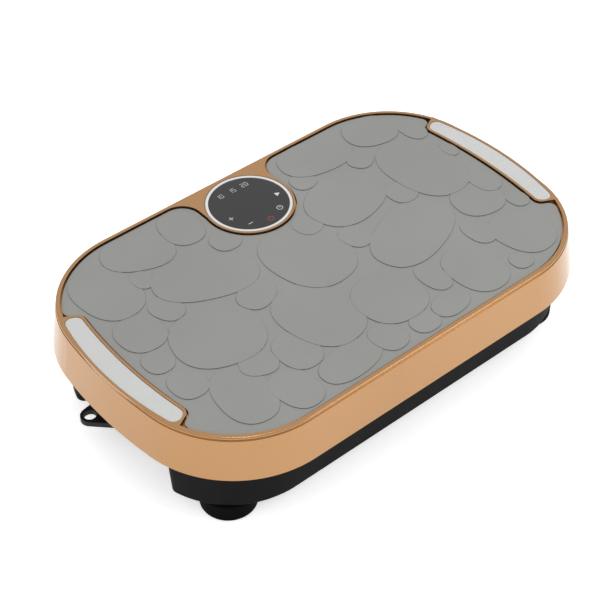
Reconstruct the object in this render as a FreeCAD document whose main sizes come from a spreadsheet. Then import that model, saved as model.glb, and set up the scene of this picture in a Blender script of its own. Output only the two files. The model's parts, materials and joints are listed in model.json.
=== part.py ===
import FreeCAD, Part
import math
import os
import Sketcher

# Vibration plate: a rocking platform on a low base, with the drive inside it.
# +X runs along the length, +Y points to the control panel side, +Z is up.
# The origin is on the floor under the middle. All sizes are in millimetres.

doc = FreeCAD.newDocument("vibration_plate")
sheet = doc.addObject("Spreadsheet::Sheet", "Sizes")

SIZES = {
    # whole machine
    "overall_length": 530,
    "overall_width": 332,
    "overall_height": 122,
    "foot_height": 21,
    # gold top shell
    "skirt_height": 48.5,
    "skirt_flare": 7,
    "corner_radius": 107,
    "end_radius": 498,
    "shell_wall": 3,
    "bead_radius": 1.7,
    "rim_width": 4.6,
    "mat_recess": 5,
    "mat_sink": 1,
    "mat_gap": 0.6,
    # light bars
    "bar_inner": 30.1,
    "bar_outer": 9.7,
    "bar_overrun": 23.3,
    "bar_slant": 8.5,
    "bar_end_gap": 3.9,
    "bar_end_width": 14.8,
    "bar_corner": 7.5,
    "bar_lip": 3.1,
    # control panel
    "panel_inset": 57.4,
    "panel_radius": 45.5,
    "panel_band": 3.5,
    "panel_rim": 2.2,
    "neck_corner": 22.5,
    "neck_centre": 70,
    # black base
    "base_inset_x": 16.5,
    "base_inset_y": 19,
    "base_corner": 93.5,
    "base_taper": 3.5,
    "base_edge": 3,
    "base_overlap": 5.5,
    "recess_inset": 77,
    "recess_depth": 20,
    "recess_round": 8,
    # feet and band eyes
    "foot_radius": 28,
    "foot_round": 2.5,
    "foot_inset_x": 65,
    "foot_inset_y": 63.5,
    "eye_bore": 6.3,
    "eye_tip": 9.7,
    "eye_reach": 24.5,
    "eye_inset": 26,
    "eye_thickness": 6,
    # rocking joint
    "pivot_drop": 37,
    "pivot_radius": 7,
    "stand_inset": 57,
    "stand_thickness": 8,
    # drive
    "drive_offset": 40,
    "drive_rise": 31,
    "shaft_radius": 8,
    "throw": 2.3,
    "rod_spacing": 110,
    "pin_drop": 41.5,
    "pin_radius": 4,
    "cam_radius": 13,
    "drive_pulley_radius": 21,
    "motor_pulley_radius": 10.5,
    "motor_offset": 45,
    "motor_radius": 21,
    "motor_length": 82,
    # clearances
    "fit": 0.05,
    "seat": 0.3,
}

for row, (name, value) in enumerate(SIZES.items(), 1):
    sheet.set("A%d" % row, name)
    sheet.set("B%d" % row, str(value))
    sheet.setAlias("B%d" % row, name)
doc.recompute()


class Size:
    """A length that knows its value and the sheet expression it comes from."""

    def __init__(self, value, text):
        self.value = float(value)
        self.text = text

    def __add__(self, other):
        other = size(other)
        return Size(self.value + other.value, "(%s + %s)" % (self.text, other.text))

    __radd__ = __add__

    def __sub__(self, other):
        other = size(other)
        return Size(self.value - other.value, "(%s - %s)" % (self.text, other.text))

    def __rsub__(self, other):
        return size(other) - self

    def __mul__(self, other):
        other = size(other)
        return Size(self.value * other.value, "(%s * %s)" % (self.text, other.text))

    __rmul__ = __mul__

    def __truediv__(self, other):
        other = size(other)
        return Size(self.value / other.value, "(%s / %s)" % (self.text, other.text))

    def __neg__(self):
        return size(0) - self

    def root(self):
        return Size(math.sqrt(self.value), "sqrt(%s)" % self.text)


def size(value):
    if isinstance(value, Size):
        return value
    return Size(value, "%.6f" % value)


class Sheet:
    """Sizes read by name, as Sheet().overall_length."""

    def __getattr__(self, name):
        return Size(SIZES[name], "Sizes." + name)


S = Sheet()
NODES = []

# ---------------------------------------------------------------- levels

rim = S.overall_height
skirt_bottom = rim - S.skirt_height
deck_top = rim - S.mat_recess
deck_bottom = deck_top - S.shell_wall
frame_top = deck_bottom - 4
frame_plate = 2.5
floor_top = S.foot_height + S.shell_wall
chassis_low = floor_top + S.seat
chassis_top = chassis_low + 2.7
stand_level = chassis_top + S.seat
wall_top = skirt_bottom + S.base_overlap
pivot_z = rim - S.pivot_drop
drive_z = S.foot_height + S.drive_rise
pin_z = rim - S.pin_drop
rim_half_x = S.overall_length / 2 - S.skirt_flare
rim_half_y = S.overall_width / 2 - S.skirt_flare
base_half_x = S.overall_length / 2 - S.base_inset_x
base_half_y = S.overall_width / 2 - S.base_inset_y
recess_half = base_half_y - S.recess_inset
rim_corner_y = rim_half_y - S.corner_radius
rim_reach = S.end_radius - S.corner_radius
rim_corner_x = rim_half_x - S.end_radius + (rim_reach * rim_reach - rim_corner_y * rim_corner_y).root()
bar_outer_half = rim_corner_y + S.corner_radius * rim_corner_y / rim_reach + S.bar_overrun
bar_inner_half = bar_outer_half - S.bar_slant
panel_y = S.overall_width / 2 - S.panel_inset
foot_x = S.overall_length / 2 - S.foot_inset_x
foot_y = S.overall_width / 2 - S.foot_inset_y
stand_y = S.overall_width / 2 - S.stand_inset
frame_half_x = S.overall_length / 2 - 55
frame_half_y = stand_y - S.stand_thickness / 2 - 3

# ---------------------------------------------------------------- helpers

PLANES = {"XY_Plane": 1, "YZ_Plane": 1, "XZ_Plane": -1}


def new_body(label):
    body = doc.addObject("PartDesign::Body", label)
    body.Label = label
    body.AllowCompound = True
    NODES.append(body)
    return body


def sketch(body, name, role="XY_Plane", level=0):
    drawing = body.newObject("Sketcher::SketchObject", name)
    plane = [item for item in body.Origin.OriginFeatures if item.Role == role][0]
    drawing.AttachmentSupport = [(plane, "")]
    drawing.MapMode = "FlatFace"
    level = PLANES[role] * size(level)
    drawing.setExpression("AttachmentOffset.Base.z", level.text)
    return drawing


def place(drawing, geometry, point, x, y):
    """Ties one point of a sketch to its x and y."""
    for kind, axis, value in (("DistanceX", -2, size(x)), ("DistanceY", -1, size(y))):
        if abs(value.value) < 1e-9:
            drawing.addConstraint(Sketcher.Constraint("PointOnObject", geometry, point, axis))
            continue
        rule = Sketcher.Constraint(kind, -1, 1, geometry, point, value.value)
        number = drawing.addConstraint(rule)
        drawing.setExpression("Constraints[%d]" % number, value.text)


def draw(drawing, path):
    """Draws a closed outline of (x, y, bend). The bend belongs to the edge that
    leaves the point: None is straight, a positive radius turns left."""
    ends = []
    for index, (x, y, bend) in enumerate(path):
        after = path[(index + 1) % len(path)]
        start = FreeCAD.Vector(size(x).value, size(y).value, 0)
        stop = FreeCAD.Vector(size(after[0]).value, size(after[1]).value, 0)
        if bend is None:
            edge = drawing.addGeometry(Part.LineSegment(start, stop), False)
            ends.append((edge, 1, 2))
            continue
        turn = size(bend).value
        radius = abs(turn)
        chord = stop - start
        rise = math.sqrt(max(radius * radius - chord.Length * chord.Length / 4, 0))
        side = FreeCAD.Vector(-chord.y, chord.x, 0)
        side.normalize()
        centre = (start + stop) / 2 + side * (rise if turn > 0 else -rise)
        first, last = (start, stop) if turn > 0 else (stop, start)
        circle = Part.Circle(centre, FreeCAD.Vector(0, 0, 1), radius)
        begin = math.atan2(first.y - centre.y, first.x - centre.x)
        finish = math.atan2(last.y - centre.y, last.x - centre.x)
        edge = drawing.addGeometry(Part.ArcOfCircle(circle, begin, finish), False)
        ends.append((edge, 1, 2) if turn > 0 else (edge, 2, 1))
    for index, (x, y, bend) in enumerate(path):
        edge, start, stop = ends[index]
        before = ends[index - 1]
        drawing.addConstraint(Sketcher.Constraint("Coincident", before[0], before[2], edge, start))
        place(drawing, edge, start, x, y)
        if bend is not None:
            bend = size(bend)
            bend = bend if bend.value > 0 else -bend
            number = drawing.addConstraint(Sketcher.Constraint("Radius", edge, bend.value))
            drawing.setExpression("Constraints[%d]" % number, bend.text)


def circles(drawing, places, radius):
    radius = size(radius)
    for x, y in places:
        centre = FreeCAD.Vector(size(x).value, size(y).value, 0)
        circle = Part.Circle(centre, FreeCAD.Vector(0, 0, 1), radius.value)
        edge = drawing.addGeometry(circle, False)
        place(drawing, edge, 3, x, y)
        number = drawing.addConstraint(Sketcher.Constraint("Radius", edge, radius.value))
        drawing.setExpression("Constraints[%d]" % number, radius.text)


def box_path(x0, y0, x1, y1):
    return [(x0, y0, None), (x1, y0, None), (x1, y1, None), (x0, y1, None)]


def pad(body, drawing, length):
    """Raises a sketch; a negative length goes against the plane's normal."""
    length = size(length)
    feature = body.newObject("PartDesign::Pad", drawing.Name + "_pad")
    feature.Profile = drawing
    feature.Reversed = length.value < 0
    length = length if length.value > 0 else -length
    feature.Length = length.value
    feature.setExpression("Length", length.text)
    doc.recompute()
    drawing.Visibility = False
    return feature


def cut(body, drawing, depth):
    """Cuts a sketch downwards (against the normal) by depth, or along it if negative."""
    depth = size(depth)
    feature = body.newObject("PartDesign::Pocket", drawing.Name + "_cut")
    feature.Profile = drawing
    feature.Reversed = depth.value < 0
    depth = depth if depth.value > 0 else -depth
    feature.Length = depth.value
    feature.setExpression("Length", depth.text)
    doc.recompute()
    return feature


def sweep(body, spine, profile):
    feature = body.newObject("PartDesign::AdditivePipe", profile.Name + "_sweep")
    feature.Profile = profile
    feature.Spine = (spine, [])
    doc.recompute()
    return feature


def soften(body, feature, radius, chosen):
    """Rounds the edges of a feature that the test picks."""
    edges = []
    for number, edge in enumerate(feature.Shape.Edges, 1):
        if chosen(edge):
            edges.append("Edge%d" % number)
    rounding = body.newObject("PartDesign::Fillet", feature.Name + "_round")
    rounding.Base = (feature, edges)
    radius = size(radius)
    rounding.Radius = radius.value
    rounding.setExpression("Radius", radius.text)
    doc.recompute()
    return rounding


def upright(edge):
    box = edge.BoundBox
    return box.XLength < 1e-6 and box.YLength < 1e-6


def bar_corner(edge):
    """An upright edge at the end of a light bar's field."""
    box = edge.BoundBox
    across = abs(box.YMin) - bar_outer_half.value
    along = S.overall_length.value / 2 - abs(box.XMin)
    return upright(edge) and abs(across) < 14 and along < 45 and box.ZMin > deck_bottom.value - 1


def solid(label, path, low, high, role="XY_Plane"):
    """A plain prism between two levels of its plane."""
    body = new_body(label)
    add(body, label + "_outline", path, low, high, role)
    return body


def add(body, name, path, low, high, role="XY_Plane"):
    drawing = sketch(body, name, role, low)
    draw(drawing, path)
    return pad(body, drawing, PLANES[role] * (size(high) - low))


def post(body, name, places, radius, low, high, role="XY_Plane"):
    drawing = sketch(body, name, role, low)
    circles(drawing, places, radius)
    return pad(body, drawing, PLANES[role] * (size(high) - low))


def hole(body, name, places, radius, low, high, role="XY_Plane"):
    drawing = sketch(body, name, role, high)
    circles(drawing, places, radius)
    return cut(body, drawing, PLANES[role] * (size(high) - low))


def window(body, name, path, low, high, role="XY_Plane"):
    drawing = sketch(body, name, role, high)
    draw(drawing, path)
    return cut(body, drawing, PLANES[role] * (size(high) - low))


def screws(label, places, radius, tip, under, head, role="XY_Plane"):
    """A set of equal screws: shank from tip to the seat, head beyond it."""
    body = new_body(label)
    radius = size(radius)
    low, high = (tip, under) if size(tip).value < size(under).value else (under, tip)
    post(body, label + "_shanks", places, radius, low, high, role)
    low, high = (under, head) if size(under).value < size(head).value else (head, under)
    post(body, label + "_heads", places, radius * 1.9, low, high, role)
    sink = size(head) + (under - size(head)) * 0.6
    low, high = (sink, head) if size(sink).value < size(head).value else (head, sink)
    hole(body, label + "_drives", places, radius * 0.9, low, high, role)
    return body


# ---------------------------------------------------------------- outlines


def oval(half_x, half_y, corner, end):
    """A long oval: bulged ends, straight sides, round corners."""
    centre = half_x - end
    reach = end - corner
    corner_y = half_y - corner
    side = centre + (reach * reach - corner_y * corner_y).root()
    join_x = side + corner * (side - centre) / reach
    join_y = corner_y + corner * corner_y / reach
    return [
        (0, half_y, None),
        (-side, half_y, corner),
        (-join_x, join_y, end),
        (-join_x, -join_y, corner),
        (-side, -half_y, None),
        (side, -half_y, corner),
        (join_x, -join_y, end),
        (join_x, join_y, corner),
        (side, half_y, None),
    ]


def rim_oval(inset):
    """The top outline of the shell, moved inwards."""
    return oval(rim_half_x - inset, rim_half_y - inset,
                S.corner_radius - inset, S.end_radius - inset)


def base_oval(inset):
    """The base outline with a recess in each end, moved inwards."""
    half_y = base_half_y - inset
    corner = S.base_corner - inset
    corner_x = base_half_x - S.base_corner
    corner_y = base_half_y - S.base_corner
    recess_y = recess_half + inset
    recess_x = base_half_x - S.recess_depth - inset
    lobe = S.recess_round - inset
    bend = S.recess_round + inset
    lobe_y = recess_y + lobe
    rise = lobe_y - corner_y
    reach = corner - lobe
    lobe_x = corner_x + (reach * reach - rise * rise).root()
    tip_x = corner_x + (lobe_x - corner_x) * corner / reach
    tip_y = corner_y + rise * corner / reach
    half = [
        (tip_x, tip_y, lobe),
        (lobe_x, recess_y, None),
        (recess_x + bend, recess_y, -bend),
        (recess_x, recess_y - bend, None),
        (recess_x, bend - recess_y, -bend),
        (recess_x + bend, -recess_y, None),
        (lobe_x, -recess_y, lobe),
        (tip_x, -tip_y, corner),
    ]
    left = [(-x, y, bend) for x, y, bend in half]
    right = [(x, -y, bend) for x, y, bend in half]
    return ([(0, half_y, None), (-corner_x, half_y, corner)] + left
            + [(-corner_x, -half_y, None), (corner_x, -half_y, corner)] + right
            + [(corner_x, half_y, None)])


def round_box(half_x, half_y, corner):
    """A rectangle with round corners about the middle."""
    flat_x = half_x - corner
    flat_y = half_y - corner
    return [
        (flat_x, half_y, None),
        (-flat_x, half_y, corner),
        (-half_x, flat_y, None),
        (-half_x, -flat_y, corner),
        (-flat_x, -half_y, None),
        (flat_x, -half_y, corner),
        (half_x, -flat_y, None),
        (half_x, flat_y, corner),
    ]


def bar_arcs():
    """The middle x and the radius of a light bar's inner and outer arc. Its outer
    corners keep bar_end_gap from the rim, and its ends stay bar_end_width wide."""
    inner_x = S.overall_length / 2 - S.bar_inner
    outer_x = S.overall_length / 2 - S.bar_outer
    turn = S.corner_radius - S.bar_end_gap
    rise = bar_outer_half - rim_corner_y
    corner_x = rim_corner_x + (turn * turn - rise * rise).root()
    outer_sag = outer_x - corner_x
    inner_sag = inner_x - corner_x + S.bar_end_width
    outer_radius = (bar_outer_half * bar_outer_half + outer_sag * outer_sag) / (2 * outer_sag)
    inner_radius = (bar_inner_half * bar_inner_half + inner_sag * inner_sag) / (2 * inner_sag)
    return inner_x, inner_radius, outer_x, outer_radius


def arc_x(middle_x, radius, y, grow=0):
    """Where an arc that crosses the length at middle_x lies at a given y."""
    grown = radius + grow
    return middle_x - radius + (grown * grown - y * y).root()


def bar_path(side, grow):
    """A light bar's outline at one end, grown by a gap or a lip."""
    inner_x, inner_radius, outer_x, outer_radius = bar_arcs()
    inner_y = bar_inner_half + size(grow) * 0.54
    outer_y = bar_outer_half + size(grow) * 1.2
    near_x = arc_x(inner_x, inner_radius, inner_y, -size(grow))
    far_x = arc_x(outer_x, outer_radius, outer_y, size(grow))
    return [
        (side * near_x, -inner_y, None),
        (side * far_x, -outer_y, side * (outer_radius + grow)),
        (side * far_x, outer_y, None),
        (side * near_x, inner_y, -side * (inner_radius - grow)),
    ]


def panel_path(gap):
    """The raised field round the control panel, moved outwards by a gap."""
    radius = S.panel_radius + S.panel_rim + gap
    bend = S.neck_corner + 0.6 - gap
    neck = S.neck_centre - bend
    bend_y = rim_half_y - S.rim_width - S.mat_gap - S.neck_corner
    step_y = panel_y + (radius * radius - neck * neck).root()
    top_y = bend_y + bend
    back_y = rim_half_y - 2
    return [
        (0, panel_y - radius, radius),
        (neck, step_y, None),
        (neck, bend_y, -bend),
        (S.neck_centre, top_y, None),
        (S.neck_centre, back_y, None),
        (-S.neck_centre, back_y, None),
        (-S.neck_centre, top_y, -bend),
        (-neck, bend_y, None),
        (-neck, step_y, radius),
    ]


SIDES = (("left", -1), ("right", 1))

# ---------------------------------------------------------------- top shell

shell_screw_places = []
for sign_x in (-1, 1):
    for sign_y in (-1, 1):
        for share in (0.3, 0.8):
            shell_screw_places.append((sign_x * share * frame_half_x, sign_y * (frame_half_y - 12)))

shell = new_body("top_shell")
path_sketch = sketch(shell, "shell_path", "XY_Plane", rim)
draw(path_sketch, rim_oval(0))
wall_sketch = sketch(shell, "shell_wall", "YZ_Plane")
bead = S.bead_radius
draw(wall_sketch, [
    (rim_half_y + S.skirt_flare, skirt_bottom, None),
    (rim_half_y + 0.45, rim - bead * 2.4, None),
    (rim_half_y - bead * 0.5, rim - bead * 1.866025, bead),
    (rim_half_y - bead, rim, None),
    (rim_half_y - S.rim_width, rim, None),
    (rim_half_y - S.rim_width, deck_top, None),
    (rim_half_y - 20, deck_top, None),
    (rim_half_y - 20, deck_bottom, None),
    (rim_half_y - S.shell_wall + 1.2, deck_bottom, None),
    (rim_half_y + S.skirt_flare - S.shell_wall, skirt_bottom, None),
])
sweep(shell, path_sketch, wall_sketch)
add(shell, "deck", rim_oval(12), deck_bottom, deck_top)
add(shell, "panel_field", panel_path(0), deck_bottom, rim)
for name, side in SIDES:
    field = add(shell, "bar_field_" + name, bar_path(side, S.bar_lip), deck_bottom, rim)
soften(shell, field, S.bar_corner + 2,
       lambda edge: bar_corner(edge) and abs(edge.BoundBox.XMin) < S.overall_length.value / 2 - S.bar_inner.value)
post(shell, "screw_bosses", shell_screw_places, 5.5, frame_top + S.seat, deck_bottom + 0.5)
hole(shell, "panel_hole", [(0, panel_y)], S.panel_radius + S.seat, deck_bottom, rim)
for name, side in SIDES:
    slot = window(shell, "bar_slot_" + name, bar_path(side, S.seat), deck_bottom, rim)


def slot_corner(edge):
    """An upright edge that runs right through the deck at a light bar's slot."""
    return bar_corner(edge) and edge.BoundBox.ZLength > S.mat_recess.value + 1


soften(shell, slot, S.bar_corner + S.seat, slot_corner)
hole(shell, "boss_holes", shell_screw_places, 1.9, frame_top, frame_top + 6.2)

# ---------------------------------------------------------------- mat, bars, panel

mat = solid("top_mat", rim_oval(S.rim_width + S.mat_gap), deck_top + S.seat, rim - S.mat_sink)
mat_panel = panel_path(0.6)
window(mat, "mat_panel_cut", mat_panel, deck_top, rim)
for name, side in SIDES:
    mat_cut = window(mat, "mat_bar_cut_" + name, bar_path(side, S.bar_lip + S.mat_gap), deck_top, rim)
soften(mat, mat_cut, S.bar_corner + 1.5, bar_corner)

for name, side in SIDES:
    bar = new_body("light_bar_" + name)
    block = add(bar, "lens_" + name, bar_path(side, 0), deck_bottom - 0.4, rim - 0.4)
    soften(bar, block, S.bar_corner, upright)

for name, side in SIDES:
    strip = solid("led_strip_" + name, bar_path(side, -4), deck_bottom - 2.3, deck_bottom - 0.7)
    pitch = (bar_inner_half - 11) / 5
    inner_x, inner_radius, outer_x, outer_radius = bar_arcs()
    chips = []
    for step in range(-5, 6):
        middle = arc_x(inner_x, inner_radius, pitch * step) + arc_x(outer_x, outer_radius, pitch * step)
        chips.append((side * middle / 2, pitch * step))
    post(strip, "leds_" + name, chips, 1.5, deck_bottom - 1, deck_bottom - 0.7)

ring = new_body("panel_ring")
post(ring, "ring_outer", [(0, panel_y)], S.panel_radius, deck_bottom, rim - 0.2)
glass_radius = S.panel_radius - S.panel_band
hole(ring, "ring_inner", [(0, panel_y)], glass_radius, rim - 3.8, rim)
hole(ring, "ring_ledge", [(0, panel_y)], glass_radius - 4, deck_bottom, rim)

glass = new_body("panel_glass")
post(glass, "glass_disc", [(0, panel_y)], glass_radius - 0.2, rim - 3.5, rim - 0.6)

board = new_body("panel_board")
post(board, "board_disc", [(0, panel_y)], glass_radius - 1, deck_bottom - 1.9, deck_bottom - 0.3)
add(board, "board_chip", box_path(-6, panel_y - 6, 6, panel_y + 6), deck_bottom - 3, deck_bottom - 1.8)
add(board, "board_plug", box_path(14, panel_y - 5, 24, panel_y + 3), deck_bottom - 3.6, deck_bottom - 1.8)

# ---------------------------------------------------------------- platform frame

frame = new_body("platform_frame")
add(frame, "frame_plate", box_path(-frame_half_x, -frame_half_y, frame_half_x, frame_half_y),
    frame_top - frame_plate, frame_top)
for name, side in SIDES:
    spans = ((28, S.rod_spacing - 16), (S.rod_spacing + 16, frame_half_x - 20))
    for number, (near, far) in enumerate(spans, 1):
        window(frame, "frame_window_%s_%d" % (name, number),
               box_path(side * near, 26 - frame_half_y, side * far, frame_half_y - 26),
               frame_top - 5, frame_top)
flange = sketch(frame, "frame_flange", "XY_Plane", frame_top - 13)
draw(flange, box_path(-frame_half_x, -frame_half_y, frame_half_x, frame_half_y))
draw(flange, box_path(3 - frame_half_x, 3 - frame_half_y, frame_half_x - 3, frame_half_y - 3))
pad(frame, flange, 13)
lug_low = pivot_z - 12
for name, sign in (("front", -1), ("back", 1)):
    lug = sketch(frame, "lug_" + name, "XZ_Plane", sign * frame_half_y)
    draw(lug, [
        (20, frame_top, None),
        (-20, frame_top, None),
        (-14, pivot_z, 14),
        (0, pivot_z - 14, 14),
        (14, pivot_z, None),
    ])
    pad(frame, lug, sign * 5)
    hole(frame, "lug_bore_" + name, [(0, pivot_z)], 10 + S.fit,
         sign * frame_half_y - 6, sign * frame_half_y + 6, "XZ_Plane")
for name, side in SIDES:
    for inner in (6, -9):
        add(frame, "ear_%s_%d" % (name, abs(inner)),
            box_path(-S.drive_offset - 11, pin_z - 9, 11 - S.drive_offset, frame_top - 1),
            side * S.rod_spacing + inner, side * S.rod_spacing + inner + 3, "YZ_Plane")
    hole(frame, "ear_bore_" + name, [(-S.drive_offset, pin_z)], S.pin_radius + S.fit,
         side * S.rod_spacing - 12, side * S.rod_spacing + 12, "YZ_Plane")
hole(frame, "frame_screw_holes", shell_screw_places, 2.2, frame_top - 5, frame_top)

screws("shell_screws", shell_screw_places, 1.8, frame_top + 5.8, frame_top - 2.8, frame_top - 5.8)

for name, sign in (("front", -1), ("back", 1)):
    bush = new_body("pivot_bush_" + name)
    near, far = (frame_half_y - 5, frame_half_y + 2)
    low, high = (near, far) if sign > 0 else (-far, -near)
    post(bush, "bush_sleeve_" + name, [(0, pivot_z)], 10, low, high, "XZ_Plane")
    near = frame_half_y + S.seat
    low, high = (near, far) if sign > 0 else (-far, -near)
    post(bush, "bush_collar_" + name, [(0, pivot_z)], 12, low, high, "XZ_Plane")
    hole(bush, "bush_bore_" + name, [(0, pivot_z)], S.pivot_radius + S.fit,
         sign * frame_half_y - 8, sign * frame_half_y + 8, "XZ_Plane")

for name, side in SIDES:
    pin = new_body("rod_pin_" + name)
    post(pin, "pin_" + name, [(-S.drive_offset, pin_z)], S.pin_radius,
         side * S.rod_spacing - 10.5, side * S.rod_spacing + 9.3, "YZ_Plane")
    post(pin, "pin_head_" + name, [(-S.drive_offset, pin_z)], S.pin_radius + 2.2,
         side * S.rod_spacing + 9.3, side * S.rod_spacing + 12, "YZ_Plane")

# ---------------------------------------------------------------- rocking joint

shaft_reach = stand_y + S.stand_thickness / 2 + 3
pivot = new_body("pivot_shaft")
post(pivot, "pivot_round", [(0, pivot_z)], S.pivot_radius, -shaft_reach, shaft_reach, "XZ_Plane")

clips = new_body("shaft_clips")
for name, sign in (("front", -1), ("back", 1)):
    near = stand_y + S.stand_thickness / 2 + S.seat
    low, high = (near, near + 1.2) if sign > 0 else (-near - 1.2, -near)
    post(clips, "clip_" + name, [(0, pivot_z)], 10, low, high, "XZ_Plane")
hole(clips, "clip_bore", [(0, pivot_z)], S.pivot_radius + S.fit, -shaft_reach, shaft_reach, "XZ_Plane")

stand_screw_places = []
for name, sign in (("front", -1), ("back", 1)):
    stand = new_body("pivot_stand_" + name)
    inner = stand_y - S.stand_thickness / 2
    outer = stand_y + S.stand_thickness / 2
    low, high = (inner, outer) if sign > 0 else (-outer, -inner)
    add(stand, "stand_plate_" + name, [
        (-30, stand_level, None),
        (30, stand_level, None),
        (30, stand_level + 6, None),
        (11, pivot_z, 11),
        (0, pivot_z + 11, 11),
        (-11, pivot_z, None),
        (-30, stand_level + 6, None),
    ], low, high, "XZ_Plane")
    add(stand, "stand_foot_" + name,
        box_path(-30, sign * (outer - 2), 30, sign * (outer + 18)), stand_level, stand_level + 4)
    hole(stand, "stand_bore_" + name, [(0, pivot_z)], S.pivot_radius + S.fit,
         sign * stand_y - 10, sign * stand_y + 10, "XZ_Plane")
    places = [(-19, sign * (outer + 10)), (19, sign * (outer + 10))]
    hole(stand, "stand_holes_" + name, places, 2.7, stand_level - 1, stand_level + 5)
    stand_screw_places += places
screws("stand_screws", stand_screw_places, 2.5, chassis_low + 0.1, stand_level + 4.2, stand_level + 7.2)

# ---------------------------------------------------------------- drive

drive_y = -S.drive_offset
block_x = S.rod_spacing + 25

drive = new_body("drive_shaft")
post(drive, "drive_round", [(drive_y, drive_z)], S.shaft_radius, -block_x - 10, block_x + 10, "YZ_Plane")
for name, side in SIDES:
    post(drive, "cam_" + name, [(drive_y + side * S.throw, drive_z)], S.cam_radius,
         side * S.rod_spacing - 6, side * S.rod_spacing + 6, "YZ_Plane")

rod_screw_places = []
for name, side in SIDES:
    block = new_body("bearing_block_" + name)
    low = side * block_x - 7
    high = side * block_x + 7
    add(block, "block_" + name, [
        (drive_y - 32, stand_level, None),
        (drive_y + 32, stand_level, None),
        (drive_y + 32, stand_level + 7, None),
        (drive_y + 20, stand_level + 9, None),
        (drive_y + 20, drive_z, 20),
        (drive_y, drive_z + 20, 20),
        (drive_y - 20, drive_z, None),
        (drive_y - 20, stand_level + 9, None),
        (drive_y - 32, stand_level + 7, None),
    ], low, high, "YZ_Plane")
    hole(block, "block_bore_" + name, [(drive_y, drive_z)], 15 + S.fit, low - 1, high + 1, "YZ_Plane")
    places = [(side * block_x, drive_y - 26), (side * block_x, drive_y + 26)]
    hole(block, "block_holes_" + name, places, 2.7, stand_level - 1, stand_level + 10)
    rod_screw_places += places
    bearing = new_body("shaft_bearing_" + name)
    post(bearing, "race_" + name, [(drive_y, drive_z)], 15, low + 1, high - 1, "YZ_Plane")
    hole(bearing, "race_bore_" + name, [(drive_y, drive_z)], S.shaft_radius + S.fit, low, high, "YZ_Plane")
screws("block_screws", rod_screw_places, 2.5, chassis_low + 0.1, stand_level + 9, stand_level + 12)

eye_hole = S.pin_radius + 2 * S.throw + S.seat
for name, side in SIDES:
    rod_y = drive_y + side * S.throw
    middle = side * S.rod_spacing
    rod = new_body("rod_" + name)
    post(rod, "rod_end_" + name, [(rod_y, drive_z)], 21, middle - 4, middle + 4, "YZ_Plane")
    post(rod, "rod_eye_" + name, [(rod_y, pin_z)], 12, middle - 4, middle + 4, "YZ_Plane")
    add(rod, "rod_web_" + name, box_path(rod_y - 10, drive_z, rod_y + 10, pin_z),
        middle - 4, middle + 4, "YZ_Plane")
    hole(rod, "rod_bore_" + name, [(rod_y, drive_z)], 17 + S.fit, middle - 5, middle + 5, "YZ_Plane")
    hole(rod, "rod_eye_bore_" + name, [(rod_y, pin_z)], eye_hole, middle - 5, middle + 5, "YZ_Plane")
    bearing = new_body("rod_bearing_" + name)
    post(bearing, "rod_race_" + name, [(rod_y, drive_z)], 17, middle - 5, middle + 5, "YZ_Plane")
    hole(bearing, "rod_race_bore_" + name, [(rod_y, drive_z)], S.cam_radius + S.fit,
         middle - 6, middle + 6, "YZ_Plane")

belt_x = 22
pulley_low = belt_x - 2
pulley_high = belt_x + 12
motor_y = S.motor_offset


def pulley(label, y, radius, bore):
    body = new_body(label)
    post(body, label + "_seat", [(y, drive_z)], radius, pulley_low, pulley_high, "YZ_Plane")
    post(body, label + "_lip_a", [(y, drive_z)], radius + 2, pulley_low, pulley_low + 1.5, "YZ_Plane")
    post(body, label + "_lip_b", [(y, drive_z)], radius + 2, pulley_high - 1.5, pulley_high, "YZ_Plane")
    hole(body, label + "_bore", [(y, drive_z)], bore + S.fit, pulley_low - 1, pulley_high + 1, "YZ_Plane")
    return body


big = pulley("drive_pulley", drive_y, S.drive_pulley_radius, S.shaft_radius)
spoke = S.drive_pulley_radius * 0.7
spoke_places = [(drive_y - spoke, drive_z), (drive_y + spoke, drive_z),
                (drive_y, drive_z - spoke), (drive_y, drive_z + spoke)]
hole(big, "pulley_windows", spoke_places, 4, pulley_low - 1, pulley_high + 1, "YZ_Plane")
pulley("motor_pulley", motor_y, S.motor_pulley_radius, 4)


def belt_path(grow):
    """A belt line round both pulleys, at a distance from their seats."""
    large = S.drive_pulley_radius + grow
    small = S.motor_pulley_radius + grow
    span = motor_y - drive_y
    lean = (large - small) / span
    rise = (1 - lean * lean).root()
    large_y = drive_y + large * lean
    large_z = large * rise
    small_y = motor_y + small * lean
    small_z = small * rise
    return [
        (large_y, drive_z - large_z, None),
        (small_y, drive_z - small_z, small),
        (motor_y + small, drive_z, small),
        (small_y, drive_z + small_z, None),
        (large_y, drive_z + large_z, large),
        (drive_y - large, drive_z, large),
    ]


belt = new_body("drive_belt")
loop = sketch(belt, "belt_loop", "YZ_Plane", belt_x)
draw(loop, belt_path(2.3))
draw(loop, belt_path(S.seat))
pad(belt, loop, 10)

motor_front = 44
motor_back = motor_front + S.motor_length
can = new_body("motor_can")
post(can, "can_outer", [(motor_y, drive_z)], S.motor_radius, motor_front, motor_back, "YZ_Plane")
hole(can, "can_hollow", [(motor_y, drive_z)], S.motor_radius - 2, motor_front + 2.5, motor_back - 2.5, "YZ_Plane")
hole(can, "can_shaft_hole", [(motor_y, drive_z)], 4 + S.fit, motor_front - 1, motor_back + 1, "YZ_Plane")
face_places = [(motor_y - 14, drive_z), (motor_y + 14, drive_z)]
hole(can, "can_screw_holes", face_places, 1.6, motor_front, motor_front + 2.5, "YZ_Plane")

rotor = new_body("motor_rotor")
post(rotor, "rotor_shaft", [(motor_y, drive_z)], 4, pulley_low - 2, motor_back - 0.5, "YZ_Plane")
post(rotor, "rotor_core", [(motor_y, drive_z)], S.motor_radius - 6, motor_front + 10, motor_back - 14, "YZ_Plane")

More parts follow.
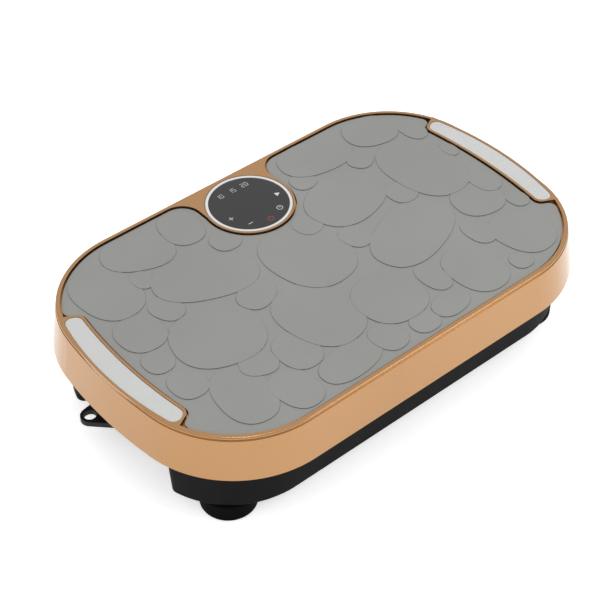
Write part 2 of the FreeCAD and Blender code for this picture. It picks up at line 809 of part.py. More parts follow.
bracket = new_body("motor_bracket")
bracket_x = motor_front - 3.3
add(bracket, "bracket_plate", box_path(motor_y - 26, stand_level, motor_y + 26, drive_z + 24),
    bracket_x, bracket_x + 3, "YZ_Plane")
add(bracket, "bracket_foot", box_path(bracket_x, motor_y - 38, bracket_x + 22, motor_y + 38),
    stand_level, stand_level + 2.5)
hole(bracket, "bracket_opening", [(motor_y, drive_z)], 9, bracket_x - 1, bracket_x + 4, "YZ_Plane")
hole(bracket, "bracket_face_holes", face_places, 1.7, bracket_x - 1, bracket_x + 4, "YZ_Plane")
bracket_places = [(bracket_x + 13, motor_y - 31), (bracket_x + 13, motor_y + 31)]
hole(bracket, "bracket_foot_holes", bracket_places, 2.7, stand_level - 1, stand_level + 4)
screws("bracket_screws", bracket_places, 2.5, chassis_low + 0.1, stand_level + 2.7, stand_level + 5.7)
screws("motor_screws", face_places, 1.5, motor_front + 2.2, bracket_x - 0.2, bracket_x - 2.4, "YZ_Plane")

# ---------------------------------------------------------------- base

foot_places = [(sx * foot_x, sy * foot_y) for sx in (-1, 1) for sy in (-1, 1)]
wall_x = base_half_x - S.recess_depth
eye_x = wall_x + S.eye_reach
eye_side = recess_half - S.eye_inset
tongue_x = wall_x - 42
eye_low = chassis_top + S.seat
eye_high = eye_low + S.eye_thickness

base = new_body("base_shell")
path_sketch = sketch(base, "base_path", "XY_Plane", S.foot_height)
draw(path_sketch, base_oval(0))
side_sketch = sketch(base, "base_wall", "YZ_Plane")
half_y = base_half_y
edge = S.base_edge
draw(side_sketch, [
    (half_y - edge, S.foot_height, edge),
    (half_y, S.foot_height + edge, None),
    (half_y + S.base_taper, wall_top, None),
    (half_y + S.base_taper - S.shell_wall, wall_top, None),
    (half_y - S.shell_wall, floor_top, None),
])
sweep(base, path_sketch, side_sketch)
add(base, "base_floor", base_oval(2.4), S.foot_height + 0.3, floor_top - 0.3)
hole(base, "base_foot_holes", foot_places, 3.3, S.foot_height - 1, floor_top + 1)
for name, side in SIDES:
    window(base, "eye_slot_" + name,
           box_path(side * (wall_x - 8), eye_side - 22.5, side * (wall_x + 4), eye_side + 14.5),
           eye_low - S.seat, eye_high + S.seat)
inlet_z = S.foot_height + 27
inlet_x = -52
switch_x = -92
window(base, "socket_window", box_path(inlet_x - 20, inlet_z - 15, inlet_x + 20, inlet_z + 15),
       half_y - 14, half_y + 8, "XZ_Plane")
window(base, "switch_window", box_path(switch_x - 12, inlet_z - 15, switch_x + 12, inlet_z + 15),
       half_y - 14, half_y + 8, "XZ_Plane")

chassis_half_x = wall_x - 6
chassis_half_y = base_half_y - 10
chassis = solid("chassis", round_box(chassis_half_x, chassis_half_y, S.base_corner - 10),
                chassis_low, chassis_top)
hole(chassis, "chassis_foot_holes", foot_places, 3.1, chassis_low - 1, chassis_top + 1)
eye_places = {}
for name, side in SIDES:
    eye_places[name] = [(side * (tongue_x + 12), eye_side - 12), (side * (tongue_x + 12), eye_side + 8)]
fixings = (stand_screw_places + rod_screw_places + bracket_places
           + eye_places["left"] + eye_places["right"])
hole(chassis, "chassis_screw_holes", fixings, 2.6, chassis_low - 1, chassis_top + 1)

for name_x, sx in SIDES:
    for name_y, sy in (("front", -1), ("back", 1)):
        foot = new_body("foot_%s_%s" % (name_x, name_y))
        disc = post(foot, "foot_disc", [(0, 0)], S.foot_radius, 0, S.foot_height - S.seat)
        soften(foot, disc, S.foot_round, lambda edge: edge.BoundBox.ZLength < 1e-6)
        hole(foot, "foot_sink", [(0, 0)], 9, 0, 9)
        hole(foot, "foot_hole", [(0, 0)], 3.3, 0, S.foot_height)
        foot.setExpression("Placement.Base.x", (sx * foot_x).text)
        foot.setExpression("Placement.Base.y", (sy * foot_y).text)
        doc.recompute()
screws("foot_screws", foot_places, 3, chassis_top - 0.1, 8.7, 4.7)

# ---------------------------------------------------------------- band eyes


def tangent(x, y, centre_x, centre_y, radius, turn):
    """Where a line from a point touches a circle, on the left or right of it."""
    dx = x - size(centre_x)
    dy = y - size(centre_y)
    square = dx * dx + dy * dy
    along = radius * radius / square
    across = turn * radius * (square - radius * radius).root() / square
    return centre_x + dx * along - dy * across, centre_y + dy * along + dx * across


for name, side in SIDES:
    shoulder = wall_x + 3 * S.seat
    low_y = eye_side - 38
    high_y = eye_side + 14
    start = tangent(shoulder, low_y, eye_x, eye_side, S.eye_tip, 1)
    stop = tangent(shoulder, high_y, eye_x, eye_side, S.eye_tip, -1)
    eye = solid("band_eye_" + name, [
        (side * tongue_x, eye_side - 22, None),
        (side * shoulder, eye_side - 22, None),
        (side * shoulder, low_y, None),
        (side * start[0], start[1], side * S.eye_tip),
        (side * (eye_x + S.eye_tip), eye_side, side * S.eye_tip),
        (side * stop[0], stop[1], None),
        (side * shoulder, high_y, None),
        (side * tongue_x, high_y, None),
    ], eye_low, eye_high)
    hole(eye, "eye_bore_" + name, [(side * eye_x, eye_side)], S.eye_bore, eye_low - 1, eye_high + 1)
    hole(eye, "eye_holes_" + name, eye_places[name], 2.7, eye_low - 1, eye_high + 1)
screws("eye_screws", eye_places["left"] + eye_places["right"], 2.5,
       chassis_low + 0.1, eye_high + 0.2, eye_high + 3.2)

# ---------------------------------------------------------------- electrics

board_z = stand_level + 7
card_places = [(-112, 18), (-36, 18), (-112, 72), (-36, 72)]
card = new_body("driver_board")
add(card, "card_plate", box_path(-118, 12, -30, 78), board_z, board_z + 1.6)
add(card, "card_sink", box_path(-84, 24, -44, 36), board_z + 1.5, board_z + 20)
post(card, "card_capacitors", [(-98, 50), (-80, 56)], 7, board_z + 1.5, board_z + 21)
add(card, "card_relay", box_path(-62, 50, -44, 64), board_z + 1.5, board_z + 14)
hole(card, "card_holes", card_places, 1.7, board_z - 1, board_z + 3)
spacers = new_body("board_spacers")
post(spacers, "spacer_round", card_places, 4, stand_level, board_z - S.seat)
hole(spacers, "spacer_bore", card_places, 1.6, stand_level, board_z)
screws("board_screws", card_places, 1.5, stand_level + 0.5, board_z + 1.8, board_z + 3.6)

plate_out = half_y - S.shell_wall - S.seat
plate = new_body("inlet_plate")
add(plate, "plate_body", box_path(switch_x - 18, inlet_z - 18, inlet_x + 24, inlet_z + 18),
    plate_out - 3, plate_out, "XZ_Plane")
window(plate, "plate_socket", box_path(inlet_x - 13.8, inlet_z - 10.3, inlet_x + 13.8, inlet_z + 10.3),
       plate_out - 4, plate_out + 1, "XZ_Plane")
window(plate, "plate_switch", box_path(switch_x - 6.8, inlet_z - 10, switch_x + 6.8, inlet_z + 10),
       plate_out - 4, plate_out + 1, "XZ_Plane")

socket = new_body("mains_inlet")
add(socket, "socket_body", box_path(inlet_x - 13.5, inlet_z - 10, inlet_x + 13.5, inlet_z + 10),
    plate_out - 22, plate_out + S.seat + 1, "XZ_Plane")
add(socket, "socket_flange", box_path(inlet_x - 15.4, inlet_z - 12, inlet_x + 15.4, inlet_z + 12),
    plate_out + S.seat, plate_out + S.seat + 2, "XZ_Plane")
window(socket, "socket_cavity", box_path(inlet_x - 12.2, inlet_z - 8.2, inlet_x + 12.2, inlet_z + 8.2),
       plate_out - 16, plate_out + 3, "XZ_Plane")
blade_places = [(-7, -2), (0, 2), (7, -2)]
blades = new_body("inlet_blades")
for number, (dx, dz) in enumerate(blade_places, 1):
    slot = (inlet_x + dx, inlet_z + dz)
    window(socket, "blade_slot_%d" % number,
           box_path(slot[0] - 1.1, slot[1] - 2.1, slot[0] + 1.1, slot[1] + 2.1),
           plate_out - 23, plate_out - 10, "XZ_Plane")
    add(blades, "blade_%d" % number, box_path(slot[0] - 1, slot[1] - 2, slot[0] + 1, slot[1] + 2),
        plate_out - 30, plate_out - 3, "XZ_Plane")

switch = new_body("switch_frame")
add(switch, "switch_body", box_path(switch_x - 6.5, inlet_z - 9.7, switch_x + 6.5, inlet_z + 9.7),
    plate_out - 16, plate_out + S.seat + 1, "XZ_Plane")
add(switch, "switch_flange", box_path(switch_x - 8, inlet_z - 11, switch_x + 8, inlet_z + 11),
    plate_out + S.seat, plate_out + S.seat + 1.8, "XZ_Plane")
window(switch, "switch_cavity", box_path(switch_x - 5.1, inlet_z - 8.9, switch_x + 5.1, inlet_z + 8.9),
       plate_out - 13, plate_out + 3, "XZ_Plane")

rocker_pivot = plate_out - 5
rocker = new_body("switch_rocker")
add(rocker, "rocker_shape", [
    (-7.4, 3, None),
    (-3, -4, None),
    (3, -4, None),
    (7.4, 3, None),
    (7.6, 6.5, None),
    (0, 5.6, None),
    (-7.6, 6.5, None),
], -4.9, 4.9, "XZ_Plane")
tilt = FreeCAD.Rotation(FreeCAD.Vector(0, 0, 1), -90)
tilt = FreeCAD.Rotation(FreeCAD.Vector(1, 0, 0), -98).multiply(tilt)
rocker.Placement = FreeCAD.Placement(FreeCAD.Vector(switch_x, 0, 0), tilt)
rocker.setExpression("Placement.Base.y", rocker_pivot.text)
rocker.setExpression("Placement.Base.z", inlet_z.text)
doc.recompute()

# ---------------------------------------------------------------- checks and output

doc.recompute()
for item in doc.Objects:
    if "Invalid" in item.State or "Error" in item.State:
        raise RuntimeError("%s is in state %s" % (item.Name, item.State))
os.makedirs("parts", exist_ok=True)
for node in NODES:
    shape = node.Shape
    if shape.isNull() or not shape.isValid():
        raise RuntimeError("%s has a bad shape" % node.Label)
    shape.exportStep("parts/%s.step" % node.Label)
print("%d nodes written" % len(NODES))
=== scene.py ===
import json
import math

import bmesh
import bpy
from mathutils import Matrix, Vector


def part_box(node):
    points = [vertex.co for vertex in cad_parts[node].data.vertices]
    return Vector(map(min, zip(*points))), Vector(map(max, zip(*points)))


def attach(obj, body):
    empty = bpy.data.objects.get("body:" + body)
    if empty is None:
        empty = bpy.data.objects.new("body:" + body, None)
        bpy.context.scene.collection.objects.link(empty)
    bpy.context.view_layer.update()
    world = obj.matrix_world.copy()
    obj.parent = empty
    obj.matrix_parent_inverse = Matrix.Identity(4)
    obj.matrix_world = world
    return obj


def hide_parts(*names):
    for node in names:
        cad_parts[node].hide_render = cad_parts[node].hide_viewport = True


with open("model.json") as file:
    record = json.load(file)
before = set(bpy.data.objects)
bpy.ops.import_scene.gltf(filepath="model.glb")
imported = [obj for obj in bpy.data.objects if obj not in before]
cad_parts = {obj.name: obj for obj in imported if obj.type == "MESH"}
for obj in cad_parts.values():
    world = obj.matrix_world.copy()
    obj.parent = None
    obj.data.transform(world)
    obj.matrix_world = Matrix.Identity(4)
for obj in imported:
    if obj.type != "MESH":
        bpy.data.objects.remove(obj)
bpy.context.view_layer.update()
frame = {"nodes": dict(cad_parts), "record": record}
record = frame["record"]


MM = 0.001


# ---------------------------------------------------------------- materials


def fill_ramp(band, stops):
    """Sets a colour ramp's stops, each a position and a colour."""
    while len(band.elements) < len(stops):
        band.elements.new(0.5)
    for element, (where, colour) in zip(band.elements, stops):
        element.position = where
        element.color = (*colour, 1.0)


def shade(colour, factor):
    return tuple(min(1.0, c * factor) for c in colour)


class Look:
    """A procedural material and the nodes that feed its shader."""

    def __init__(self, name, roughness=0.5, metallic=0.0, **inputs):
        self.material = bpy.data.materials.new(name)
        self.material.use_nodes = True
        self.tree = self.material.node_tree
        self.shader = self.tree.nodes["Principled BSDF"]
        self.shader.inputs["Roughness"].default_value = roughness
        self.shader.inputs["Metallic"].default_value = metallic
        for key, value in inputs.items():
            self.shader.inputs[key.replace("_", " ")].default_value = value
        place = self.tree.nodes.new("ShaderNodeTexCoord")
        self.place = place.outputs["Object"]
        self.normal = None

    def noise(self, scale, detail=3.0, roughness=0.55, stretch=None):
        source = self.place
        if stretch:
            mapping = self.tree.nodes.new("ShaderNodeMapping")
            mapping.inputs["Scale"].default_value = stretch
            self.tree.links.new(self.place, mapping.inputs["Vector"])
            source = mapping.outputs["Vector"]
        node = self.tree.nodes.new("ShaderNodeTexNoise")
        node.inputs["Scale"].default_value = scale
        node.inputs["Detail"].default_value = detail
        node.inputs["Roughness"].default_value = roughness
        self.tree.links.new(source, node.inputs["Vector"])
        return node.outputs["Fac"]

    def ramp(self, value, stops):
        node = self.tree.nodes.new("ShaderNodeValToRGB")
        fill_ramp(node.color_ramp, stops)
        self.tree.links.new(value, node.inputs["Fac"])
        return node.outputs["Color"]

    def range(self, value, low, high):
        node = self.tree.nodes.new("ShaderNodeMapRange")
        node.inputs["To Min"].default_value = low
        node.inputs["To Max"].default_value = high
        self.tree.links.new(value, node.inputs["Value"])
        return node.outputs["Result"]

    def colour(self, value, dark, light, low=0.35, high=0.65):
        tone = self.ramp(value, [(low, dark), (high, light)])
        self.tree.links.new(tone, self.shader.inputs["Base Color"])

    def rough(self, value, low, high):
        gloss = self.range(value, low, high)
        self.tree.links.new(gloss, self.shader.inputs["Roughness"])

    def math(self, kind, first, second):
        node = self.tree.nodes.new("ShaderNodeMath")
        node.operation = kind
        for socket, value in zip(node.inputs, (first, second)):
            if isinstance(value, (int, float)):
                socket.default_value = value
            else:
                self.tree.links.new(value, socket)
        return node.outputs["Value"]

    def height_band(self, low, high, blur):
        """1 where the surface lies between two heights, fading over blur."""
        split = self.tree.nodes.new("ShaderNodeSeparateXYZ")
        self.tree.links.new(self.place, split.inputs["Vector"])
        rise = self.math("DIVIDE", self.math("SUBTRACT", split.outputs["Z"], low), blur)
        fall = self.math("DIVIDE", self.math("SUBTRACT", high, split.outputs["Z"]), blur)
        return self.clamp(self.math("MINIMUM", rise, fall))

    def clamp(self, value):
        node = self.tree.nodes.new("ShaderNodeClamp")
        self.tree.links.new(value, node.inputs["Value"])
        return node.outputs["Result"]

    def steep(self, low=0.25, high=0.8):
        """1 on walls, 0 on faces that look up."""
        shape = self.tree.nodes.new("ShaderNodeNewGeometry")
        split = self.tree.nodes.new("ShaderNodeSeparateXYZ")
        self.tree.links.new(shape.outputs["Normal"], split.inputs["Vector"])
        node = self.tree.nodes.new("ShaderNodeMapRange")
        node.inputs["From Min"].default_value = high
        node.inputs["From Max"].default_value = low
        self.tree.links.new(split.outputs["Z"], node.inputs["Value"])
        return node.outputs["Result"]

    def paint_shade(self, shade_mask, colour, factor):
        """Mixes the base colour towards a darker one where the mask is 1: painted shade."""
        node = self.tree.nodes.new("ShaderNodeMixRGB")
        base = self.shader.inputs["Base Color"].links[0].from_socket
        self.tree.links.new(base, node.inputs["Color1"])
        node.inputs["Color2"].default_value = (*shade(colour, factor), 1.0)
        self.tree.links.new(shade_mask, node.inputs["Fac"])
        self.tree.links.new(node.outputs["Color"], self.shader.inputs["Base Color"])

    def bump(self, value, depth, strength=1.0):
        node = self.tree.nodes.new("ShaderNodeBump")
        node.inputs["Distance"].default_value = depth
        node.inputs["Strength"].default_value = strength
        self.tree.links.new(value, node.inputs["Height"])
        if self.normal:
            self.tree.links.new(self.normal, node.inputs["Normal"])
        self.normal = node.outputs["Normal"]
        self.tree.links.new(self.normal, self.shader.inputs["Normal"])


def paint(name, colour, roughness, metallic=0.0, fleck=1800, depth=0.00003, spread=0.06,
          **inputs):
    """Paint, plastic or metal: a faint cloud of tone, a fine grain and uneven gloss."""
    look = Look(name, roughness, metallic, **inputs)
    cloud = look.noise(9.0, 4.0)
    look.colour(cloud, shade(colour, 1 - spread), shade(colour, 1 + spread))
    look.rough(look.noise(40.0, 5.0), roughness * 0.88, roughness * 1.12)
    look.bump(look.noise(fleck, 2.0), depth)
    return look


def brushed(name, colour, roughness, stretch, **inputs):
    """Turned or ground metal with fine lines."""
    look = Look(name, roughness, 1.0, **inputs)
    lines = look.noise(60.0, 4.0, 0.7, stretch)
    look.colour(lines, shade(colour, 0.82), shade(colour, 1.12))
    look.rough(lines, roughness * 0.8, roughness * 1.25)
    look.bump(lines, 0.00002)
    return look


def gold_shell():
    """Satin copper gold, with painted shade in the crease under the rim's bead."""
    look = Look("gold_shell", 0.26, 0.95, Coat_Weight=0.3, Coat_Roughness=0.08)
    gold = (0.40, 0.217, 0.094)
    crease_shade_colour = (0.30, 0.13, 0.035)
    look.colour(look.noise(5.0, 4.0), shade(gold, 0.97), shade(gold, 1.03))
    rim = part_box("top_shell")[1].z
    # painted shade: the crease under the rim's bead is coloured a darker brown
    painted_crease_shade = look.height_band(rim - 4.5 * MM, rim - 2.9 * MM, 0.4 * MM)
    look.paint_shade(painted_crease_shade, crease_shade_colour, 1.0)
    look.rough(look.noise(30.0, 5.0), 0.22, 0.29)
    look.bump(look.noise(2600.0, 1.5), 0.000012)
    return look


def grey_mat():
    """Grey rubber with fine grain; painted shade on the upright walls of the cobbles and of the
    grooves round them.
    """
    look = Look("grey_mat", 0.62, 0.0, Specular_IOR_Level=0.3)
    grey = (0.262, 0.262, 0.252)
    look.colour(look.noise(7.0, 4.0), shade(grey, 0.97), shade(grey, 1.04))
    # painted shade: upright walls are coloured darker than the faces that look up
    look.paint_shade(look.steep(), grey, 0.3)
    look.rough(look.noise(60.0, 5.0), 0.56, 0.70)
    look.bump(look.noise(2400.0, 2.0), 0.00003)
    return look


def light_lens():
    """Milky white plastic with a soft gloss, not lit."""
    look = Look("light_lens", 0.32, 0.0, Coat_Weight=0.15, Subsurface_Weight=0.2,
                Subsurface_Scale=0.004)
    white = (0.53, 0.535, 0.525)
    look.colour(look.noise(18.0, 3.0), shade(white, 0.985), shade(white, 1.02))
    look.rough(look.noise(50.0, 4.0), 0.28, 0.36)
    look.bump(look.noise(900.0, 2.0), 0.00001)
    return look


def white_ring():
    """White plastic with painted shade on its outer edge where it meets the shell."""
    look = paint("white_ring", (0.66, 0.66, 0.65), 0.3, fleck=1200, depth=0.00001,
                 spread=0.02)
    edge_width, edge_blur = 1.1 * MM, 0.5 * MM
    low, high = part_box("panel_ring")
    reach = look.tree.nodes.new("ShaderNodeVectorMath")
    reach.operation = "DISTANCE"
    look.tree.links.new(look.place, reach.inputs[0])
    reach.inputs[1].default_value = (*((low + high) / 2).xy, high.z)
    edge = (high.x - low.x) / 2
    past = look.math("SUBTRACT", reach.outputs["Value"], edge - edge_width)
    shade_mask = look.clamp(look.math("DIVIDE", past, edge_blur))
    # painted shade: the ring's outer edge is mixed towards a grey brown where it meets the shell
    look.paint_shade(shade_mask, (0.5, 0.42, 0.36), 0.5)
    return look


LOOKS = {
    "gold_shell": gold_shell(),
    "grey_mat": grey_mat(),
    "light_lens": light_lens(),
    "circuit": paint("circuit", (0.012, 0.085, 0.03), 0.4, spread=0.25, fleck=500),
    "white_ring": white_ring(),
    "black_glass": paint("black_glass", (0.022, 0.022, 0.022), 0.2, fleck=600,
                         depth=0.000003, spread=0.08, Specular_IOR_Level=0.35),
    "mark_white": paint("mark_white", (0.62, 0.62, 0.62), 0.4, fleck=900, depth=0.00001,
                        spread=0.03),
    "mark_red": paint("mark_red", (0.36, 0.035, 0.03), 0.4, fleck=900, depth=0.00001,
                      spread=0.05),
    "painted_steel": paint("painted_steel", (0.03, 0.031, 0.033), 0.5, fleck=900,
                           depth=0.00004, spread=0.15),
    "zinc": brushed("zinc", (0.56, 0.57, 0.55), 0.34, (1, 1, 6)),
    "bronze": brushed("bronze", (0.52, 0.33, 0.15), 0.4, (1, 6, 1)),
    "steel": brushed("steel", (0.5, 0.5, 0.51), 0.28, (8, 1, 1)),
    "aluminium": brushed("aluminium", (0.7, 0.7, 0.71), 0.36, (8, 1, 1)),
    "cast_iron": paint("cast_iron", (0.07, 0.07, 0.072), 0.62, 0.6, fleck=350,
                       depth=0.00012, spread=0.2),
    "belt_rubber": paint("belt_rubber", (0.014, 0.014, 0.014), 0.75, fleck=700,
                         depth=0.00006, spread=0.2),
    "motor_paint": paint("motor_paint", (0.06, 0.062, 0.066), 0.4, 0.3, fleck=900,
                         spread=0.12),
    "black_plastic": paint("black_plastic", (0.0045, 0.0045, 0.0044), 0.6, fleck=1500,
                           depth=0.00005, spread=0.2, Specular_IOR_Level=0.06),
    "foot_rubber": paint("foot_rubber", (0.0015, 0.0015, 0.0015), 0.72, fleck=1100,
                         depth=0.00006, spread=0.2, Specular_IOR_Level=0.04),
    "black_steel": paint("black_steel", (0.008, 0.008, 0.008), 0.5, fleck=1300,
                         depth=0.00004, spread=0.2, Specular_IOR_Level=0.2),
    "brass": brushed("brass", (0.7, 0.5, 0.22), 0.3, (1, 8, 1)),
    "switch_red": paint("switch_red", (0.42, 0.015, 0.012), 0.28, fleck=900,
                        depth=0.00001, spread=0.08),
}

for row in record["subparts"]:
    node = frame["nodes"][row["node"]]
    node.data.materials.clear()
    node.data.materials.append(LOOKS[row["material_slot"]].material)


# ---------------------------------------------------------------- mesh helpers


def new_piece(name, mesh, look, body):
    piece = bpy.data.objects.new(name, mesh)
    bpy.context.scene.collection.objects.link(piece)
    mesh.materials.append(LOOKS[look].material)
    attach(piece, body)
    return piece


def join_rings(bm, lower, upper):
    """Joins two rings of as many corners with a band of faces."""
    count = len(lower)
    for step in range(count):
        after = (step + 1) % count
        bm.faces.new((lower[step], lower[after], upper[after], upper[step]))


def mesh_of(name, bm, smooth=True):
    mesh = bpy.data.meshes.new(name)
    bmesh.ops.recalc_face_normals(bm, faces=bm.faces)
    bm.to_mesh(mesh)
    bm.free()
    for face in mesh.polygons:
        face.use_smooth = smooth
    return mesh


# ---------------------------------------------------------------- pebbled mat

MAT_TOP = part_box("top_mat")[1].z
PEBBLE_BASE = MAT_TOP - 0.9 * MM    # the ground between the cobbles
PEBBLE_RISE = 0.86 * MM             # the most a cobble stands above it
PEBBLE_STEPS = 96                   # corners round one cobble
PEBBLE_POWER = 2 / 2.35             # a little squarer than an ellipse
PEBBLE_SHOULDER = 0.15              # the narrow slope at a cobble's edge, in millimetres
LEAN = Vector((0.66, 0.75))         # the tops fall this way
LEAN_MIDDLE, LEAN_FALL = 0.62, 0.36
GROOVE = 1.0 * MM                   # between the mat and the shell
PANEL = (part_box("panel_glass")[0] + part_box("panel_glass")[1]) / 2
PANEL_KEEP = 50.5                   # cobbles end this far from the panel's middle, in millimetres

# x, y, half length, half width, turn in degrees, all in millimetres on the plate
PEBBLES = [
    (-190, 93, 31, 42, 4), (-132, 121, 38, 27, -25), (-152, 86, 11, 14, 0),
    (-76, 124, 22, 28, -8), (-54, 80, 16, 16, 0), (-103, 50, 54, 33, -22),
    (-159, 38, 15, 19, 15), (-198, 27, 24, 26, 0), (-208, -14, 15, 16, 0),
    (-204, -54, 18, 20, 0), (-145, -23, 46, 41, -15), (-139, -76, 19, 16, -25),
    (-101, -86, 21, 26, 0), (-174, -98, 27, 38, -8), (-133, -122, 21, 28, 6),
    (-72, -128, 36, 20, 6), (-81, -2, 22, 18, 25), (-54, -62, 37, 48, 10),
    (-6, 10, 42, 51, 8), (14, -88, 36, 36, 0), (-24, -127, 17, 20, 10),
    (16, -135, 16, 14, 0), (24, 45, 15, 16, 10), (82, 52, 48, 37, 15),
    (103, 124, 43, 28, -8), (66, 101, 14, 14, 0), (137, 90, 16, 14, 35),
    (178, 120, 31, 26, -15), (178, 38, 38, 54, 4), (215, 94, 13, 21, 0),
    (221, 41, 8, 12, 0), (49, 0, 15, 18, 10), (98, -32, 58, 35, 20),
    (132, 21, 16, 17, 0), (184, -38, 28, 26, -10), (212, -19, 15, 21, 0),
    (216, -63, 11, 14, 0), (149, -74, 15, 21, 0), (66, -94, 14, 22, 0),
    (106, -112, 28, 36, 0), (182, -103, 29, 35, 10), (149, -133, 12, 12, 0),
    (53, -132, 22, 15, 8),
]


def off_panel(x, y):
    """Keeps a cobble's outline outside the panel's rim."""
    middle = Vector((PANEL.x, PANEL.y)) / MM
    offset = Vector((x, y)) - middle
    if offset.length < PANEL_KEEP:
        offset = offset.normalized() * PANEL_KEEP
    return offset + middle


def pebble(bm, x, y, half_x, half_y, turn):
    """One cobble: an upright side and a flat top that leans like a laid paving stone."""
    spin = math.radians(turn)
    profile = [(1.0, -0.3), (1.0, 0.0), (1.0, 0.8), (1.0 - PEBBLE_SHOULDER / half_x, 1.0),
               (0.6, 1.0), (0.2, 1.0)]
    rings = []
    for share, level in profile:
        ring = []
        for step in range(PEBBLE_STEPS):
            angle = 2 * math.pi * step / PEBBLE_STEPS
            across, along = math.cos(angle), math.sin(angle)
            px = half_x * math.copysign(abs(across) ** PEBBLE_POWER, across) * share
            py = half_y * math.copysign(abs(along) ** PEBBLE_POWER, along) * share
            flat = Vector((px * math.cos(spin) - py * math.sin(spin),
                           px * math.sin(spin) + py * math.cos(spin)))
            lean = LEAN_MIDDLE - LEAN_FALL * flat.dot(LEAN) / max(half_x, half_y)
            spot = off_panel(x + flat.x, y + flat.y)
            height = PEBBLE_BASE + level * lean * PEBBLE_RISE
            ring.append(bm.verts.new((spot.x * MM, spot.y * MM, height)))
        rings.append(ring)
    for lower, upper in zip(rings, rings[1:]):
        join_rings(bm, lower, upper)
    bm.faces.new(rings[-1])
    bm.faces.new(list(reversed(rings[0])))


def draw_in(bm, depth):
    """Moves the upright sides of a flat sheet inwards, so that a groove opens round it."""
    bm.normal_update()
    moves = {}
    for vert in bm.verts:
        walls = [face.normal for face in vert.link_faces if abs(face.normal.z) < 0.3]
        if walls:
            mean = sum(walls, Vector()).normalized()
            moves[vert] = mean * (-depth / max(0.4, min(mean.dot(wall) for wall in walls)))
    for vert, move in moves.items():
        vert.co += move


def mat_piece():
    """The mat's own outline, its top sunk to the ground between the cobbles, and the cobbles."""
    source = frame["nodes"]["top_mat"]
    bm = bmesh.new()
    bm.from_mesh(source.data)
    for vert in bm.verts:
        if vert.co.z > MAT_TOP - 0.3 * MM:
            vert.co.z = PEBBLE_BASE
    bmesh.ops.remove_doubles(bm, verts=bm.verts, dist=0.00001)
    draw_in(bm, GROOVE)
    for x, y, half_x, half_y, turn in PEBBLES:
        pebble(bm, x, y, half_x, half_y, turn)
    mesh = mesh_of("mat_pebbled", bm)
    piece = new_piece("mat_pebbled", mesh, "grey_mat", "platform")
    piece.data.set_sharp_from_angle(angle=math.radians(50))
    for face in piece.data.polygons:
        face.use_smooth = face.normal.z < 0.9
    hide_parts("top_mat")


mat_piece()

# ---------------------------------------------------------------- marks on the control glass

MARK_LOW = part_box("panel_glass")[1].z - 0.05 * MM
MARK_HIGH = MARK_LOW + 0.08 * MM


def plate(bm, outline):
    """A thin flat tile with the given outline, in millimetres from the panel's middle."""
    rings = []
    for level in (MARK_LOW, MARK_HIGH):
        rings.append([bm.verts.new((PANEL.x + x * MM, PANEL.y + y * MM, level))
                      for x, y in outline])
    low, high = rings
    join_rings(bm, low, high)
    bm.faces.new(high)
    bm.faces.new(list(reversed(low)))


def stroke(bm, x0, y0, x1, y1, width):
    """A straight bar with pointed ends."""
    along = Vector((x1 - x0, y1 - y0)).normalized() * width / 2
    side = Vector((-along.y, along.x))
    a, b = Vector((x0, y0)), Vector((x1, y1))
    plate(bm, [tuple(a - side), tuple(b - side), tuple(b + along), tuple(b + side),
               tuple(a + side), tuple(a - along)])


def arc(bm, x, y, radius, width, start, stop, steps=28):
    """Part of a ring, as a run of short tiles."""
    points = []
    for step in range(steps + 1):
        angle = math.radians(start + (stop - start) * step / steps)
        points.append((math.cos(angle), math.sin(angle)))
    inner, outer = radius - width / 2, radius + width / 2
    for (c0, s0), (c1, s1) in zip(points, points[1:]):
        plate(bm, [(x + inner * c0, y + inner * s0), (x + outer * c0, y + outer * s0),
                   (x + outer * c1, y + outer * s1), (x + inner * c1, y + inner * s1)])


# The seven bars of a plain figure in a unit box: x and y of one end, then of the other.
SEGMENTS = {
    "top": (0, 1, 1, 1),
    "upper_left": (0, 0.5, 0, 1),
    "upper_right": (1, 0.5, 1, 1),
    "middle": (0, 0.5, 1, 0.5),
    "lower_left": (0, 0, 0, 0.5),
    "lower_right": (1, 0, 1, 0.5),
    "bottom": (0, 0, 1, 0),
}
DIGITS = {
    "0": ("top", "upper_left", "upper_right", "lower_left", "lower_right", "bottom"),
    "1": ("upper_right", "lower_right"),
    "2": ("top", "upper_right", "middle", "lower_left", "bottom"),
    "5": ("top", "upper_left", "middle", "lower_right", "bottom"),
}


def digit(bm, figure, x, y, wide, tall, width):
    for name in DIGITS[figure]:
        x0, y0, x1, y1 = SEGMENTS[name]
        stroke(bm, x + x0 * wide, y + y0 * tall, x + x1 * wide, y + y1 * tall, width)


def mark(name, look, *tiles):
    """One mark on the glass; each tile is a drawing function and its numbers."""
    bm = bmesh.new()
    for draw, *numbers in tiles:
        draw(bm, *numbers)
    new_piece(name, mesh_of(name, bm, smooth=False), look, "platform")


def panel_marks():
    mark("mark_plus", "mark_white",
         (stroke, -32.0, -7.6, -27.0, -7.6, 0.7),
         (stroke, -29.5, -10.1, -29.5, -5.1, 0.7))
    mark("mark_minus", "mark_white",
         (stroke, -21.0, -25.6, -16.0, -25.6, 0.7))
    mark("mark_power", "mark_red",
         (arc, 1.7, -33.0, 3.2, 0.6, 120, 420),
         (stroke, 1.7, -33.0, 1.7, -29.0, 0.6))
    mark("mark_timer", "mark_white",
         (arc, 19.7, -25.6, 3.1, 0.6, 0, 360),
         (stroke, 19.7, -25.6, 19.7, -23.4, 0.5),
         (stroke, 19.7, -25.6, 21.2, -25.6, 0.5))
    mark("mark_start", "mark_white",
         (plate, [(29.8, -9.9), (35.0, -6.9), (29.8, -3.9)]))
    mark("mark_minutes", "mark_white",
         *((digit, figure, x + step * 4.6, 24.2, 2.9, 5.6, 0.45)
           for figures, x in (("10", -20.5), ("15", -4.5), ("20", 11.5))
           for step, figure in enumerate(figures)))


panel_marks()

# ---------------------------------------------------------------- floor, light and camera


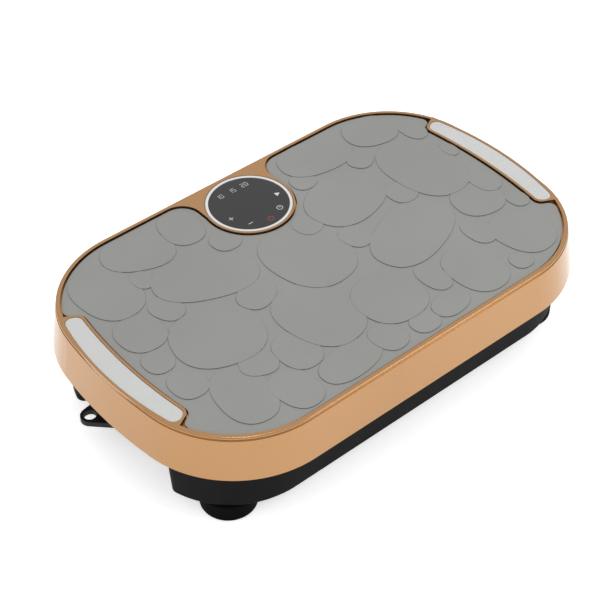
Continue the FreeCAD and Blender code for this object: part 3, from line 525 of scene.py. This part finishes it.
def floor():
    bm = bmesh.new()
    bmesh.ops.create_grid(bm, x_segments=1, y_segments=1, size=30.0)
    ground = bpy.data.objects.new("floor", mesh_of("floor", bm))
    bpy.context.scene.collection.objects.link(ground)
    ground.location.z = -0.4 * MM
    look = Look("floor_white", 0.9, Specular_IOR_Level=0.0, Emission_Strength=0.5)
    look.colour(look.noise(2.0), (0.93, 0.93, 0.93), (0.95, 0.95, 0.95))
    ground.data.materials.append(look.material)


def lamp(name, place, target, size, power):
    light = bpy.data.lights.new(name, "AREA")
    light.shape = "RECTANGLE"
    light.size, light.size_y = size
    light.energy = power
    holder = bpy.data.objects.new(name, light)
    bpy.context.scene.collection.objects.link(holder)
    holder.location = place
    direction = Vector(target) - Vector(place)
    holder.rotation_euler = direction.to_track_quat("-Z", "Y").to_euler()


def studio():
    """A white room, a little dimmer near the floor, with two soft lamps."""
    world = bpy.data.worlds.new("studio")
    world.use_nodes = True
    tree = world.node_tree
    place = tree.nodes.new("ShaderNodeTexCoord")
    split = tree.nodes.new("ShaderNodeSeparateXYZ")
    tree.links.new(place.outputs["Generated"], split.inputs["Vector"])
    sky = tree.nodes.new("ShaderNodeValToRGB")
    tones = [(0.0, 0.7), (0.4, 0.85), (0.55, 1.0), (0.8, 1.0), (1.0, 0.9)]
    fill_ramp(sky.color_ramp, [(height, (tone, tone, tone)) for height, tone in tones])
    tree.links.new(split.outputs["Z"], sky.inputs["Fac"])
    tree.links.new(sky.outputs["Color"], tree.nodes["Background"].inputs["Color"])
    tree.nodes["Background"].inputs["Strength"].default_value = 1.05
    bpy.context.scene.world = world
    lamp("key", (0.05, 0.1, 2.2), (0, 0, 0.1), (0.3, 0.3), 4)
    lamp("front", (0.9, -1.3, 1.1), (0.1, -0.3, 0), (0.6, 0.6), 4)
    bpy.context.scene.view_settings.view_transform = "Standard"


CAMERA_TURN = -40.56      # degrees, from in front towards the left
CAMERA_TILT = 42.81       # degrees, looking down
CAMERA_PLACE = Vector((-0.7828, -0.8864, 1.1580))
CAMERA_LENS = 95.57       # millimetres, on a 36 mm sensor


def camera():
    """The main view: a three-quarter view from the front left, looking down on the plate."""
    turn, tilt = math.radians(CAMERA_TURN), math.radians(CAMERA_TILT)
    right = Vector((math.cos(turn), math.sin(turn), 0))
    back = Vector((math.sin(turn) * math.cos(tilt), -math.cos(turn) * math.cos(tilt),
                   math.sin(tilt)))
    up = back.cross(right)
    lens = bpy.data.cameras.new("camera")
    lens.sensor_width = 36.0
    lens.lens = CAMERA_LENS
    lens.clip_start = 0.05
    lens.clip_end = 100.0
    holder = bpy.data.objects.new("camera", lens)
    bpy.context.scene.collection.objects.link(holder)
    holder.matrix_world = Matrix((
        (right.x, up.x, back.x, CAMERA_PLACE.x),
        (right.y, up.y, back.y, CAMERA_PLACE.y),
        (right.z, up.z, back.z, CAMERA_PLACE.z),
        (0, 0, 0, 1),
    ))
    bpy.context.scene.camera = holder


floor()
studio()
camera()
